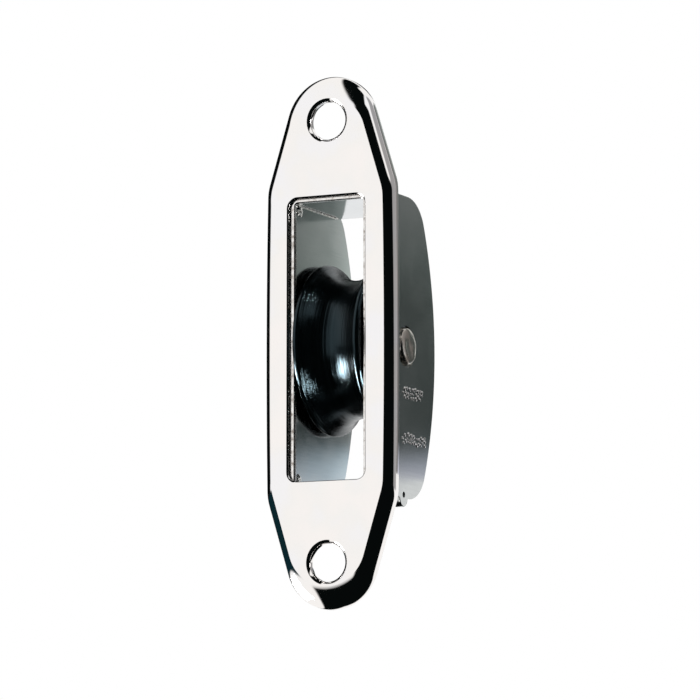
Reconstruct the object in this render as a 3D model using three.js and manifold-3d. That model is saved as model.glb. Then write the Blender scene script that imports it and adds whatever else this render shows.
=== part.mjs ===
// Exit box with one ball-race sheave, for a rope that leaves a mast, a boom or a deck.
// Millimetres, +Z up along the plate, +X to the right, +Y back into the mast.
// The origin is the centre of the cut-out, on the plane of the cover plate's rear rim.
import * as THREE from "three";
import { mergeVertices } from "three/addons/utils/BufferGeometryUtils.js";
import Module from "manifold-3d";

// ---------------------------------------------------------------- driving dimensions
const GAP = 0.3; // between neighbouring solids

const PLATE_DEPTH = 3.3; // from the rear of the rim to the front face
const SHEET_THICK = 1.5; // the plate is a pressing: it is hollow behind, inside its rim
const RIM_WIDTH = 1.6;
const PLATE_HALF_LENGTH = 46;
const PLATE_HALF_WIDTH = 12.05; // at the kinks
const PLATE_BOW = 0.25; // how far each long side swells at mid length
const KINK_Z = 26.9; // where the long side turns into the taper
const TAPER = THREE.MathUtils.degToRad(17);
const WALL_HEIGHT = 1.3; // upright edge of the plate, below the rolled shoulder
const SHOULDER_SIDE = 1.5; // width of the shoulder along the sides
const SHOULDER_KINK = 1.6; // how much nearer the middle the shoulder's kink lies
const SHOULDER_TIP = 3.8; // width of the shoulder at the tips

const SCREW_Z = 38.1;
const SCREW_HOLE_R = 3.3; // clearance for an M6 screw
const SCREW_SINK_R = 3.85;

const WINDOW_HALF_WIDTH = 7.5;
const WINDOW_HALF_HEIGHT = 24.65;
const WINDOW_CORNER = 1.8;
const WINDOW_ROUND = 0.2; // eased edge round the front of the window

const BOX_FRONT = SHEET_THICK - PLATE_DEPTH + GAP; // cheeks and walls start inside the plate
const CHEEK_X = 6.9; // inner face
const CHEEK_THICK = 1.6;
const CHEEK_HALF_HEIGHT = 26.4;
const CHEEK_REACH = 22.6; // furthest back, level with the axle
const CHEEK_BACK_R = 58; // long shallow curve of the rear edge
const CHEEK_CORNER_R = 7;
const LUG_Y = 9.6; // a small lug with a pinhole hangs from the lower edge
const LUG_R = 1.6;
const LUG_HOLE_R = 0.5;
const LUG_SINK = 0.1; // how far the lug's centre lies inside the cheek
const LUG_HOLE_SINK = 0.6;

const END_WALL_Z = 24.2; // inner face
const END_WALL_THICK = 1.5;
const END_WALL_REACH = 16.8;

const AXLE_Y = 10.7;
const AXLE_R = 3;
const AXLE_HEAD_R = 3.6;
const AXLE_HEAD_HIGH = 0.8;

const SHEAVE_R = 15;
const GROOVE_FLOOR_R = 12;
const LIP_R = 0.65;
const LIP_X = 5.65; // centre of the rounded lip
const RACE_OUTER_R = 8.7;
const RACE_INNER_R = 5.3;
const RACE_HALF_WIDTH = 3.9;
const RECESS_R = 10; // seat of the ball retainers

const BALL_R = 1.5;
const BALL_PITCH_R = 7;
const BALLS_PER_ROW = 12;
const ROW_X = 1.9;

const RETAINER_THICK = 1.2;
const RETAINER_BORE_R = 6;
const RACE_SLEEVE_HALF = 5.5;
const WASHER_R = 5.6;

const ROUND_SEGMENTS = 48;
const SMALL_SEGMENTS = 32;
const PAST = 1; // how far a cutter runs past the face that it opens
const WELD_TOLERANCE = 1e-4; // points closer than this become one

// ---------------------------------------------------------------- materials
function material(color, metalness, roughness) {
  return new THREE.MeshStandardMaterial({ color, metalness, roughness });
}

const polishedSteel = () => material(0xdedcd8, 1, 0.08);
const satinSteel = () => material(0x8d918f, 1, 0.28);
const axleSteel = () => material(0x9c958c, 1, 0.25);
const blackAcetal = () => material(0x0b0d0f, 0, 0.3);
const whiteAcetal = () => material(0xe9e6dc, 0, 0.35);
const raceSteel = () => material(0xb4b6b8, 1, 0.2);

// ---------------------------------------------------------------- shape helpers
// A closed solid through rings of equal length. The first and last ring are each closed by a
// fan round the Y axis. Seen from the front the rings run anticlockwise, and they follow one
// another from the rear to the front.
function loft(rings) {
  const count = rings[0].length;
  const positions = [];
  const index = [];
  for (const ring of rings) {
    for (const point of ring) positions.push(point.x, point.y, point.z);
  }
  for (let r = 0; r + 1 < rings.length; r += 1) {
    for (let i = 0; i < count; i += 1) {
      const a = r * count + i;
      const b = r * count + ((i + 1) % count);
      index.push(a, b, a + count);
      index.push(b, b + count, a + count);
    }
  }
  const last = rings.length - 1;
  for (const [ring, flip] of [[0, true], [last, false]]) {
    const centre = positions.length / 3;
    positions.push(0, rings[ring][0].y, 0);
    for (let i = 0; i < count; i += 1) {
      const a = ring * count + i;
      const b = ring * count + ((i + 1) % count);
      index.push(...(flip ? [b, a, centre] : [a, b, centre]));
    }
  }
  const geometry = new THREE.BufferGeometry();
  geometry.setAttribute("position", new THREE.Float32BufferAttribute(positions, 3));
  geometry.setIndex(index);
  return geometry;
}

// The points of a flat outline, drawn in X and Z, as a ring at height y.
function ringAt(outline, y) {
  return outline.map((p) => new THREE.Vector3(p.x, y, p.y));
}

const wasm = await Module();
wasm.setup();

function toSolid(geometry) {
  const bare = geometry.clone();
  for (const name of ["normal", "uv"]) bare.deleteAttribute(name);
  const merged = mergeVertices(bare, WELD_TOLERANCE);
  const mesh = new wasm.Mesh({
    numProp: 3,
    vertProperties: new Float32Array(merged.attributes.position.array),
    triVerts: new Uint32Array(merged.index.array),
  });
  return new wasm.Manifold(mesh);
}

function toGeometry(solid) {
  const mesh = solid.getMesh();
  const geometry = new THREE.BufferGeometry();
  geometry.setAttribute("position", new THREE.BufferAttribute(mesh.vertProperties, 3));
  geometry.setIndex(new THREE.BufferAttribute(mesh.triVerts, 1));
  geometry.computeVertexNormals();
  return geometry;
}

// Cuts every cutter, placed where it is needed, out of a body.
function cut(body, cutters) {
  const result = cutters.reduce((left, cutter) => left.subtract(toSolid(cutter)), toSolid(body));
  return toGeometry(result);
}

function named(name, geometry, finish) {
  const mesh = new THREE.Mesh(geometry, finish);
  mesh.name = name;
  return mesh;
}

// Turns a lathe's own axis, Y, onto X, the direction of the axle.
function alongAxle(mesh) {
  mesh.rotation.z = -Math.PI / 2;
  return mesh;
}

// A ring with square edges from x0 to x1 along the axle.
function ringProfile(boreR, outerR, x0, x1) {
  return [
    new THREE.Vector2(boreR, x0),
    new THREE.Vector2(outerR, x0),
    new THREE.Vector2(outerR, x1),
    new THREE.Vector2(boreR, x1),
    new THREE.Vector2(boreR, x0),
  ];
}

function arcPoints(cx, cy, radius, from, to, steps) {
  const points = [];
  for (let i = 0; i <= steps; i += 1) {
    const angle = from + ((to - from) * i) / steps;
    points.push(new THREE.Vector2(cx + radius * Math.cos(angle), cy + radius * Math.sin(angle)));
  }
  return points;
}

// ---------------------------------------------------------------- cover plate
// One quarter of the plate's outline, from the middle of the right side up to the tip:
// a long bowed side, a kink, a straight taper, and a round tip tangent to the taper.
function plateQuarter(halfWidth, kinkZ, tipZ) {
  const sideR = (kinkZ * kinkZ + PLATE_BOW * PLATE_BOW) / (2 * PLATE_BOW);
  const sideAngle = Math.asin(kinkZ / sideR);
  const sideCentre = halfWidth + PLATE_BOW - sideR;
  const side = arcPoints(sideCentre, 0, sideR, 0, sideAngle, 5);
  const reach = halfWidth * Math.cos(TAPER) + kinkZ * Math.sin(TAPER);
  const tipCentre = (tipZ - reach) / (1 - Math.sin(TAPER));
  const tip = arcPoints(0, tipCentre, tipZ - tipCentre, TAPER, Math.PI / 2, 10);
  return [...side, ...tip];
}

function closedOutline(quarter) {
  const upperLeft = quarter.slice(0, -1).reverse().map((p) => new THREE.Vector2(-p.x, p.y));
  const lowerLeft = quarter.slice(1).map((p) => new THREE.Vector2(-p.x, -p.y));
  const lowerRight = quarter.slice(1, -1).reverse().map((p) => new THREE.Vector2(p.x, -p.y));
  return [...quarter, ...upperLeft, ...lowerLeft, ...lowerRight];
}

// The outline at a share of the shoulder's width: 0 is the rim and 1 the edge of the flat face.
function plateOutline(share) {
  const halfWidth = PLATE_HALF_WIDTH - SHOULDER_SIDE * share;
  const kinkZ = KINK_Z - SHOULDER_KINK * share;
  return closedOutline(plateQuarter(halfWidth, kinkZ, PLATE_HALF_LENGTH - SHOULDER_TIP * share));
}

// The same outline moved in by the width of the rim.
function pocketOutline() {
  const kinkZ = KINK_Z - RIM_WIDTH * Math.tan(TAPER / 2);
  const halfWidth = PLATE_HALF_WIDTH - RIM_WIDTH;
  return closedOutline(plateQuarter(halfWidth, kinkZ, PLATE_HALF_LENGTH - RIM_WIDTH));
}

function plateBlank() {
  const shoulderSteps = 5;
  const shoulderRise = PLATE_DEPTH - WALL_HEIGHT;
  const rings = [ringAt(plateOutline(0), 0)];
  for (let i = 0; i <= shoulderSteps; i += 1) {
    const turn = (Math.PI / 2) * (i / shoulderSteps);
    const y = -WALL_HEIGHT - shoulderRise * Math.sin(turn);
    rings.push(ringAt(plateOutline(1 - Math.cos(turn)), y));
  }
  return loft(rings);
}

// The hollow behind the plate, inside the rim.
function pocketCutter() {
  const outline = pocketOutline();
  return loft([ringAt(outline, PAST), ringAt(outline, SHEET_THICK - PLATE_DEPTH)]);
}

function windowOutline(grow) {
  const w = WINDOW_HALF_WIDTH + grow;
  const h = WINDOW_HALF_HEIGHT + grow;
  const r = WINDOW_CORNER + grow;
  const corners = [[1, 1], [-1, 1], [-1, -1], [1, -1]];
  return corners.flatMap(([sx, sz], i) =>
    arcPoints(sx * (w - r), sz * (h - r), r, (i * Math.PI) / 2, ((i + 1) * Math.PI) / 2, 5),
  );
}

function windowCutter() {
  const steps = 3;
  const rings = [ringAt(windowOutline(0), PAST)];
  for (let i = 0; i <= steps; i += 1) {
    const turn = (Math.PI / 2) * (i / steps);
    const y = -PLATE_DEPTH + WINDOW_ROUND * (1 - Math.sin(turn));
    rings.push(ringAt(windowOutline(WINDOW_ROUND * (1 - Math.cos(turn))), y));
  }
  rings.push(ringAt(windowOutline(WINDOW_ROUND), -PLATE_DEPTH - PAST));
  return loft(rings);
}

function screwCutter(z) {
  const sinkDepth = SCREW_SINK_R - SCREW_HOLE_R;
  const profile = [
    new THREE.Vector2(0, -PLATE_DEPTH - PAST),
    new THREE.Vector2(SCREW_SINK_R, -PLATE_DEPTH - PAST),
    new THREE.Vector2(SCREW_SINK_R, -PLATE_DEPTH),
    new THREE.Vector2(SCREW_HOLE_R, -PLATE_DEPTH + sinkDepth),
    new THREE.Vector2(SCREW_HOLE_R, PAST),
    new THREE.Vector2(0, PAST),
  ];
  return new THREE.LatheGeometry(profile, SMALL_SEGMENTS).translate(0, 0, z);
}

function coverPlate() {
  const screws = [screwCutter(SCREW_Z), screwCutter(-SCREW_Z)];
  const cutters = [pocketCutter(), windowCutter(), ...screws];
  return named("cover_plate", cut(plateBlank(), cutters), polishedSteel());
}

// ---------------------------------------------------------------- sheave box
// A cheek seen from the side: x of the shape runs back along Y and y runs up along Z.
function cheekShape() {
  const backCentre = CHEEK_REACH - CHEEK_BACK_R;
  const cornerZ = CHEEK_HALF_HEIGHT - CHEEK_CORNER_R;
  const cornerY = backCentre + Math.sqrt((CHEEK_BACK_R - CHEEK_CORNER_R) ** 2 - cornerZ ** 2);
  const backAngle = Math.atan2(cornerZ, cornerY - backCentre);
  const lugHalf = Math.sqrt(LUG_R ** 2 - LUG_SINK ** 2);
  const lugDrop = Math.asin(LUG_SINK / LUG_R);
  const lugZ = -CHEEK_HALF_HEIGHT + LUG_SINK;
  const shape = new THREE.Shape();
  shape.moveTo(BOX_FRONT, -CHEEK_HALF_HEIGHT);
  shape.lineTo(LUG_Y - lugHalf, -CHEEK_HALF_HEIGHT);
  shape.absarc(LUG_Y, lugZ, LUG_R, Math.PI + lugDrop, -lugDrop, false);
  shape.lineTo(cornerY, -CHEEK_HALF_HEIGHT);
  shape.absarc(cornerY, -cornerZ, CHEEK_CORNER_R, -Math.PI / 2, -backAngle, false);
  shape.absarc(backCentre, 0, CHEEK_BACK_R, -backAngle, backAngle, false);
  shape.absarc(cornerY, cornerZ, CHEEK_CORNER_R, backAngle, Math.PI / 2, false);
  shape.lineTo(BOX_FRONT, CHEEK_HALF_HEIGHT);
  shape.closePath();
  const axleHole = new THREE.Path().absarc(AXLE_Y, 0, AXLE_R + GAP, 0, 2 * Math.PI, true);
  const lugHole = new THREE.Path();
  const lugHoleZ = -CHEEK_HALF_HEIGHT + LUG_HOLE_SINK;
  lugHole.absarc(LUG_Y, lugHoleZ, LUG_HOLE_R, 0, 2 * Math.PI, true);
  shape.holes.push(axleHole, lugHole);
  return shape;
}

function cheek(name, innerX) {
  const geometry = new THREE.ExtrudeGeometry(cheekShape(), {
    depth: CHEEK_THICK,
    bevelEnabled: false,
    curveSegments: 12,
  });
  const mesh = named(name, geometry, satinSteel());
  mesh.quaternion.setFromAxisAngle(new THREE.Vector3(1, 1, 1).normalize(), (2 * Math.PI) / 3);
  mesh.position.x = innerX;
  return mesh;
}

// An end wall with a rounded rear edge, so that the rope never meets a corner.
function endWall(name, side) {
  const shape = new THREE.Shape();
  const half = END_WALL_THICK / 2;
  shape.moveTo(BOX_FRONT, -half);
  shape.lineTo(END_WALL_REACH - half, -half);
  shape.absarc(END_WALL_REACH - half, 0, half, -Math.PI / 2, Math.PI / 2, false);
  shape.lineTo(BOX_FRONT, half);
  shape.closePath();
  const width = 2 * (CHEEK_X - GAP);
  const geometry = new THREE.ExtrudeGeometry(shape, {
    depth: width,
    bevelEnabled: false,
    curveSegments: 6,
  });
  const mesh = named(name, geometry, satinSteel());
  mesh.quaternion.setFromAxisAngle(new THREE.Vector3(1, 1, 1).normalize(), (2 * Math.PI) / 3);
  mesh.position.set(-width / 2, 0, side * (END_WALL_Z + half));
  return mesh;
}

// ---------------------------------------------------------------- axle and inner bearing parts
// The axle is a pin with a domed, riveted head outside each cheek.
function axlePin() {
  const headX = CHEEK_X + CHEEK_THICK + GAP;
  const domeR = (AXLE_HEAD_R ** 2 + AXLE_HEAD_HIGH ** 2) / (2 * AXLE_HEAD_HIGH);
  const domeAngle = Math.asin(AXLE_HEAD_R / domeR);
  const dome = [];
  const steps = 5;
  for (let i = 0; i <= steps; i += 1) {
    const angle = domeAngle * (1 - i / steps);
    const x = headX + AXLE_HEAD_HIGH - domeR * (1 - Math.cos(angle));
    dome.push(new THREE.Vector2(domeR * Math.sin(angle), x));
  }
  const rightHalf = [new THREE.Vector2(AXLE_R, headX), ...dome];
  const leftHalf = rightHalf.map((p) => new THREE.Vector2(p.x, -p.y)).reverse();
  const geometry = new THREE.LatheGeometry([...leftHalf, ...rightHalf], SMALL_SEGMENTS);
  return alongAxle(named("axle_pin", geometry, axleSteel()));
}

function innerRace() {
  const profile = ringProfile(AXLE_R + GAP, RACE_INNER_R, -RACE_SLEEVE_HALF, RACE_SLEEVE_HALF);
  const geometry = new THREE.LatheGeometry(profile, SMALL_SEGMENTS);
  return alongAxle(named("bearing_inner_race", geometry, raceSteel()));
}

function thrustWasher(name, side) {
  const near = RACE_SLEEVE_HALF + GAP;
  const far = CHEEK_X - GAP;
  const x0 = side > 0 ? near : -far;
  const profile = ringProfile(AXLE_R + GAP, WASHER_R, x0, x0 + far - near);
  const geometry = new THREE.LatheGeometry(profile, SMALL_SEGMENTS);
  return alongAxle(named(name, geometry, whiteAcetal()));
}

// ---------------------------------------------------------------- sheave
// The rope groove is one arc, tangent to a rounded lip on each side.
function sheaveProfile() {
  const lipHigh = SHEAVE_R - LIP_R;
  const drop = lipHigh - GROOVE_FLOOR_R;
  const grooveR = (LIP_X ** 2 + drop ** 2 - LIP_R ** 2) / (2 * (LIP_R + drop));
  const grooveCentre = GROOVE_FLOOR_R + grooveR;
  const lean = Math.atan2(LIP_X, grooveCentre - lipHigh);
  const leftLip = arcPoints(0, 0, LIP_R, Math.PI, Math.PI / 2 - lean, 7);
  const groove = arcPoints(0, 0, grooveR, -Math.PI / 2 - lean, -Math.PI / 2 + lean, 14);
  const side = LIP_X + LIP_R;
  const seatX = RACE_HALF_WIDTH;
  const left = leftLip.map((p) => new THREE.Vector2(lipHigh + p.y, -LIP_X + p.x));
  const right = left.map((p) => new THREE.Vector2(p.x, -p.y)).reverse();
  const floor = groove.slice(1, -1).map((p) => new THREE.Vector2(grooveCentre + p.y, p.x));
  return [
    new THREE.Vector2(RACE_OUTER_R, -seatX),
    new THREE.Vector2(RECESS_R, -seatX),
    new THREE.Vector2(RECESS_R, -side),
    ...left,
    ...floor,
    ...right,
    new THREE.Vector2(RECESS_R, side),
    new THREE.Vector2(RECESS_R, seatX),
    new THREE.Vector2(RACE_OUTER_R, seatX),
    new THREE.Vector2(RACE_OUTER_R, -seatX),
  ];
}

function sheaveWheel() {
  const geometry = new THREE.LatheGeometry(sheaveProfile(), ROUND_SEGMENTS);
  return alongAxle(named("sheave_wheel", geometry, blackAcetal()));
}

function ballRetainer(name, side) {
  const near = RACE_HALF_WIDTH + GAP;
  const x0 = side > 0 ? near : -near - RETAINER_THICK;
  const profile = ringProfile(RETAINER_BORE_R, RECESS_R - GAP, x0, x0 + RETAINER_THICK);
  const geometry = new THREE.LatheGeometry(profile, ROUND_SEGMENTS);
  return alongAxle(named(name, geometry, blackAcetal()));
}

// Two rows of loose balls. The second row is turned by half a pitch.
function ballRow(name, x, phase) {
  const row = new THREE.Group();
  for (let i = 0; i < BALLS_PER_ROW; i += 1) {
    const angle = ((i + phase) * 2 * Math.PI) / BALLS_PER_ROW;
    const label = String(i + 1).padStart(2, "0");
    const ball = named(`${name}_${label}`, new THREE.IcosahedronGeometry(BALL_R, 1), whiteAcetal());
    ball.position.set(x, BALL_PITCH_R * Math.cos(angle), BALL_PITCH_R * Math.sin(angle));
    row.add(ball);
  }
  return row;
}

// ---------------------------------------------------------------- assembly
const exitBox = new THREE.Group();
exitBox.add(
  coverPlate(),
  cheek("right_cheek", CHEEK_X),
  cheek("left_cheek", -CHEEK_X - CHEEK_THICK),
  endWall("top_end_wall", 1),
  endWall("bottom_end_wall", -1),
);

const onAxle = new THREE.Group();
onAxle.position.y = AXLE_Y;
onAxle.add(
  axlePin(),
  innerRace(),
  thrustWasher("right_thrust_washer", 1),
  thrustWasher("left_thrust_washer", -1),
  sheaveWheel(),
  ballRetainer("right_ball_retainer", 1),
  ballRetainer("left_ball_retainer", -1),
  ballRow("right_ball", ROW_X, 0),
  ballRow("left_ball", -ROW_X, 0.5),
);
exitBox.add(onAxle);

export default exitBox;
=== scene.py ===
# %% [markdown]
# # An exit box with one sheave
# An exit box sits in the wall of a mast, a boom or a deck and lets a rope out over a small grooved
# wheel, the sheave. This one is a bright stainless pressing with a window, a little box of sheet
# steel behind it and a black sheave on a riveted axle. The CAD model already has every piece at its
# real size and place. Blender adds what a press, a welder, a lathe and a polisher leave behind.

# %% Load the frame
import math
import random

import bmesh
import bpy
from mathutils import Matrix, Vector


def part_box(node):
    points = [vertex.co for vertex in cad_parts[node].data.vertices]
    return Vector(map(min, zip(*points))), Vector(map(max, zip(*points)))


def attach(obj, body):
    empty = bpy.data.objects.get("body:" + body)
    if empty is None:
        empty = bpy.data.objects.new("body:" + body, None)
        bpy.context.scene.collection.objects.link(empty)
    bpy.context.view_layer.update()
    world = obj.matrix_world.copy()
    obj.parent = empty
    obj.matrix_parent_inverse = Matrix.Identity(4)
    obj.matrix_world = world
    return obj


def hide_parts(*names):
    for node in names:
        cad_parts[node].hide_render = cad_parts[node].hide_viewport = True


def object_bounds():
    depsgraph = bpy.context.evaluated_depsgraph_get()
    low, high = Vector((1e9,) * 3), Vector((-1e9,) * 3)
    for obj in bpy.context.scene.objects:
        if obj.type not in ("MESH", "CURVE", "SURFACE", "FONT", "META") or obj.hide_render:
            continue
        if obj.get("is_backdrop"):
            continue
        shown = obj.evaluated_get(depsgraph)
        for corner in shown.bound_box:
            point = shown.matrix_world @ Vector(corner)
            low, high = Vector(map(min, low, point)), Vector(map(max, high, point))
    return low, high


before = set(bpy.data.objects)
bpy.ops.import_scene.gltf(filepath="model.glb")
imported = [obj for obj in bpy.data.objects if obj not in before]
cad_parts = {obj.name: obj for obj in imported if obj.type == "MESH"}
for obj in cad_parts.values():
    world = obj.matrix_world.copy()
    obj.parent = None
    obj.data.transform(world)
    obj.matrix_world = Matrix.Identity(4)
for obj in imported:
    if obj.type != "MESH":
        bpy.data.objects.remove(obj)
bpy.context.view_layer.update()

MM = 0.001

# %% [markdown]
# ## Where things are
# Sizes come from the frame, so a piece made here always fits its neighbours. X runs along the
# axle, Y goes back into the mast and Z runs up the plate. A few workshop sizes, such as an edge
# radius, are named where they are used.

# %% Read the main sizes
plate_low, plate_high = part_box("cover_plate")
cheek_low, cheek_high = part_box("right_cheek")
wheel_low, wheel_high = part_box("sheave_wheel")
axle_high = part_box("axle_pin")[1]

AXLE_Y = (wheel_low.y + wheel_high.y) / 2
FACE_Y = plate_low.y
CHEEK_IN = cheek_low.x
CHEEK_OUT = cheek_high.x
print("axle", round(AXLE_Y / MM, 2), "mm behind the rim, face", round(-FACE_Y / MM, 2), "in front")

# %% [markdown]
# ## Camera
# The plate is seen from its right and from slightly below, with a long lens, so that upright lines
# stay nearly parallel. `back` points from the object to the camera. The camera sits so that the
# middle of the plate's front face lands a little left of the picture's centre.

# %% Set up the camera
AZIMUTH = math.radians(25.7)
ELEVATION = math.radians(-7.6)
DISTANCE = 0.701
LENS = 211.1
AIM_RIGHT = 0.0040
AIM_UP = -0.00176

back = Vector((
    math.sin(AZIMUTH) * math.cos(ELEVATION),
    -math.cos(AZIMUTH) * math.cos(ELEVATION),
    math.sin(ELEVATION),
))
right = Vector((math.cos(AZIMUTH), math.sin(AZIMUTH), 0))
up = back.cross(right)

camera = bpy.data.objects.new("camera", bpy.data.cameras.new("camera"))
bpy.context.scene.collection.objects.link(camera)
camera.data.lens = LENS
camera.location = Vector((0, FACE_Y, 0)) + right * AIM_RIGHT + up * AIM_UP + back * DISTANCE
camera.rotation_mode = "QUATERNION"
camera.rotation_quaternion = back.to_track_quat("Z", "Y")
camera.data.clip_start = 0.01
bpy.context.scene.camera = camera
bpy.context.scene.view_settings.view_transform = "Standard"
print("camera at", [round(v, 3) for v in camera.location])

# %% [markdown]
# ## A small kit for node materials
# Every finish below is a Principled shader with a few procedural nodes. These helpers keep each
# material short: `new_finish` starts one, `noise` gives a stretched noise in the piece's own
# coordinates, `ramp` turns a grey value into a colour, and `bump` raises a fine surface.

# %% Material helpers
def new_finish(name, **sockets):
    material = bpy.data.materials.new(name)
    material.use_nodes = True
    shader = material.node_tree.nodes["Principled BSDF"]
    for socket, value in sockets.items():
        shader.inputs[socket.replace("_", " ")].default_value = value
    return material, shader


def place(material, stretch):
    nodes = material.node_tree.nodes
    coordinates = nodes.new("ShaderNodeTexCoord")
    mapping = nodes.new("ShaderNodeMapping")
    mapping.inputs["Scale"].default_value = stretch
    material.node_tree.links.new(coordinates.outputs["Object"], mapping.inputs["Vector"])
    return mapping.outputs["Vector"]


def noise(material, stretch, scale, detail=3.0):
    node = material.node_tree.nodes.new("ShaderNodeTexNoise")
    node.inputs["Scale"].default_value = scale
    node.inputs["Detail"].default_value = detail
    material.node_tree.links.new(place(material, stretch), node.inputs["Vector"])
    return node.outputs["Fac"]


def ramp(material, value, socket, *stops):
    node = material.node_tree.nodes.new("ShaderNodeValToRGB")
    elements = node.color_ramp.elements
    while len(elements) < len(stops):
        elements.new(0.5)
    for element, (position, colour) in zip(elements, stops):
        element.position = position
        element.color = (*colour, 1)
    material.node_tree.links.new(value, node.inputs["Fac"])
    material.node_tree.links.new(node.outputs["Color"], socket)


def grey(value):
    return (value, value, value)


def bump(material, shader, height, distance):
    node = material.node_tree.nodes.new("ShaderNodeBump")
    node.inputs["Strength"].default_value = 1.0
    node.inputs["Distance"].default_value = distance
    material.node_tree.links.new(height, node.inputs["Height"])
    material.node_tree.links.new(node.outputs["Normal"], shader.inputs["Normal"])


# %% [markdown]
# ## Finish: mirror-polished steel
# The plate is buffed until it mirrors the studio. A perfect mirror looks like plastic foil, so the
# roughness wanders a little, the colour drifts between a warm and a cool white, and a faint
# waviness of a few thousandths of a millimetre lets the edges of reflections swim.

# %% Polished steel
def polished_steel():
    material, shader = new_finish("polished_steel", Metallic=1.0)
    tint = noise(material, (1, 1, 1), 140, 2.0)
    ramp(material, tint, shader.inputs["Base Color"],
         (0.35, (0.93, 0.895, 0.872)), (0.5, (0.905, 0.885, 0.865)), (0.65, (0.90, 0.89, 0.90)))
    buffing = noise(material, (1, 1, 0.15), 900, 4.0)
    ramp(material, buffing, shader.inputs["Roughness"], (0.3, grey(0.03)), (0.75, grey(0.085)))
    bump(material, shader, noise(material, (1, 1, 1), 260, 2.0), 0.000004)
    return material


POLISHED = polished_steel()

# %% [markdown]
# ## Finish: bright-rolled sheet
# The cheeks and walls are cut from bright-rolled sheet. Rolling leaves fine parallel grain, which
# runs fore and aft here, and handling leaves soft cloudy patches. Stretching a noise hard along Y
# draws the grain, and a second, broad noise makes the clouds.

# %% Rolled sheet
def rolled_sheet(name, smooth, rough, tone):
    material, shader = new_finish(name, Metallic=1.0)
    grain = noise(material, (1, 0.02, 1), 5200, 3.0)
    ramp(material, grain, shader.inputs["Base Color"],
         (0.3, tuple(0.93 * c for c in tone)), (0.7, tone))
    clouds = noise(material, (1, 1, 1), 190, 4.0)
    ramp(material, clouds, shader.inputs["Roughness"], (0.3, grey(smooth)), (0.7, grey(rough)))
    bump(material, shader, noise(material, (1, 0.3, 1), 2400, 3.0), 0.0000008)
    return material


CHEEK_STEEL = rolled_sheet("rolled_sheet", 0.13, 0.20, (0.60, 0.625, 0.62))
WALL_STEEL = rolled_sheet("bright_sheet", 0.09, 0.16, (0.66, 0.69, 0.71))

# %% [markdown]
# ## Finish: sheared edge, weld metal, riveted bar and ground race
# Sheared edges were dressed with a file and keep a few torn brown specks. Weld beads are rippled
# and slightly straw-coloured from heat. The rivet heads were hammered, so they are lumpy and a
# little brown. The inner race was ground true, so it only has fine rings.

# %% Edge, weld, rivet and race steel
def weld_metal():
    material, shader = new_finish("weld_metal", Metallic=1.0)
    heat = noise(material, (1, 1, 1), 700, 3.0)
    ramp(material, heat, shader.inputs["Base Color"],
         (0.3, (0.86, 0.82, 0.76)), (0.7, (0.72, 0.73, 0.72)))
    ramp(material, heat, shader.inputs["Roughness"], (0.3, grey(0.14)), (0.7, grey(0.32)))
    bump(material, shader, noise(material, (1, 1, 1), 2600, 2.0), 0.00001)
    return material


def riveted_bar():
    material, shader = new_finish("riveted_bar", Metallic=1.0)
    stain = noise(material, (1, 1, 1), 420, 4.0)
    ramp(material, stain, shader.inputs["Base Color"],
         (0.3, (0.50, 0.43, 0.36)), (0.55, (0.62, 0.58, 0.53)), (0.75, (0.82, 0.80, 0.77)))
    ramp(material, stain, shader.inputs["Roughness"], (0.3, grey(0.30)), (0.7, grey(0.17)))
    bump(material, shader, noise(material, (1, 1, 1), 900, 2.0), 0.00004)
    return material


def ground_race():
    material, shader = new_finish("ground_race", Metallic=1.0)
    rings = noise(material, (1, 0.03, 0.03), 6000, 2.0)
    ramp(material, rings, shader.inputs["Base Color"],
         (0.3, (0.60, 0.61, 0.62)), (0.7, (0.72, 0.73, 0.74)))
    ramp(material, rings, shader.inputs["Roughness"], (0.3, grey(0.12)), (0.7, grey(0.24)))
    bump(material, shader, rings, 0.000002)
    return material


def sheared_edge():
    material, shader = new_finish("sheared_edge", Metallic=1.0)
    torn = noise(material, (1, 1, 1), 1100, 4.0)
    ramp(material, torn, shader.inputs["Base Color"],
         (0.30, (0.45, 0.40, 0.36)), (0.45, (0.82, 0.79, 0.76)), (0.7, (0.93, 0.92, 0.91)))
    ramp(material, torn, shader.inputs["Roughness"], (0.3, grey(0.35)), (0.7, grey(0.14)))
    bump(material, shader, noise(material, (1, 1, 1), 2100, 2.0), 0.00001)
    return material


SHEARED = sheared_edge()
WELD = weld_metal()
RIVET = riveted_bar()
RACE = ground_race()

# %% [markdown]
# ## Finish: turned black acetal
# The sheave is turned from black acetal bar. The tool leaves rings round the axle, so the texture
# must depend only on where a point lies along X and how far it is from the axle. The distance comes
# from the length of a flat vector. Finer rings raise the bump, and broader ones change how smooth
# the tool left the surface.

# %% Black acetal
def ring_coordinates(material, scale):
    nodes = material.node_tree.nodes
    links = material.node_tree.links
    coordinates = nodes.new("ShaderNodeTexCoord")
    split = nodes.new("ShaderNodeSeparateXYZ")
    links.new(coordinates.outputs["Object"], split.inputs["Vector"])
    centred = nodes.new("ShaderNodeMath")
    centred.operation = "SUBTRACT"
    centred.inputs[1].default_value = AXLE_Y
    links.new(split.outputs["Y"], centred.inputs[0])
    flat = nodes.new("ShaderNodeCombineXYZ")
    links.new(centred.outputs[0], flat.inputs["X"])
    links.new(split.outputs["Z"], flat.inputs["Y"])
    radius = nodes.new("ShaderNodeVectorMath")
    radius.operation = "LENGTH"
    links.new(flat.outputs["Vector"], radius.inputs[0])
    ring = nodes.new("ShaderNodeCombineXYZ")
    links.new(split.outputs["X"], ring.inputs["X"])
    links.new(radius.outputs["Value"], ring.inputs["Y"])
    texture = nodes.new("ShaderNodeTexNoise")
    texture.inputs["Scale"].default_value = scale
    texture.inputs["Detail"].default_value = 3.0
    links.new(ring.outputs["Vector"], texture.inputs["Vector"])
    return texture.outputs["Fac"]


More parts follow.
